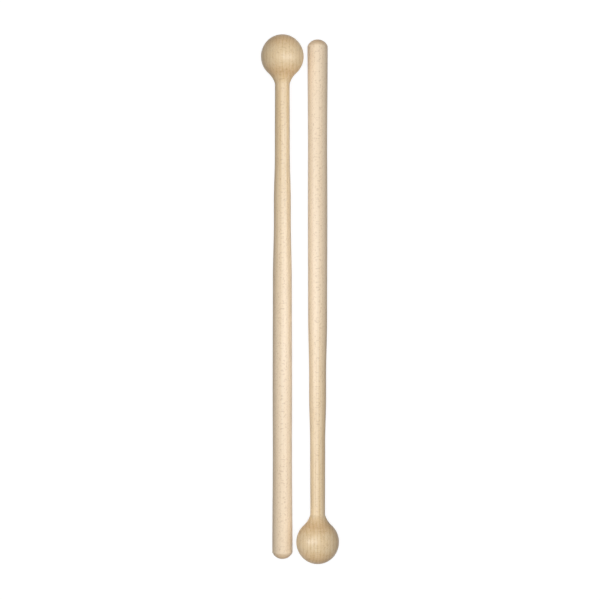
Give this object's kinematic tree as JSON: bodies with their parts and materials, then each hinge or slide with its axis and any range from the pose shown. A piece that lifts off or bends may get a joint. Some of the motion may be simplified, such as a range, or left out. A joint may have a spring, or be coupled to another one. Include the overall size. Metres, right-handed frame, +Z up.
{
  "type": "timpani mallets",
  "caption": "Turned wooden timpani mallets with bare ball heads, hollow necks, tapered shafts and domed butts, lying side by side, head to butt.",
  "frame": {"origin": "on the surface that the mallets lie on, under the middle of the pair", "axes": "+Z up; the mallets lie along Y, the left one at -X with its head at +Y, the right one at +X with its head at -Y"},
  "size_m": [0.0548, 0.3714, 0.03],
  "materials": {
    "lacquered_maple": "satin"
  },
  "bodies": {
    "left_mallet": {"left_mallet": "lacquered_maple"},
    "right_mallet": {"right_mallet": "lacquered_maple"}
  },
  "joints": [
    {"name": "right_mallet_lift", "type": "slide", "parent": "left_mallet", "child": "right_mallet", "axis": [0, 0, 1], "range_m": [0, 0.06]}
  ]
}
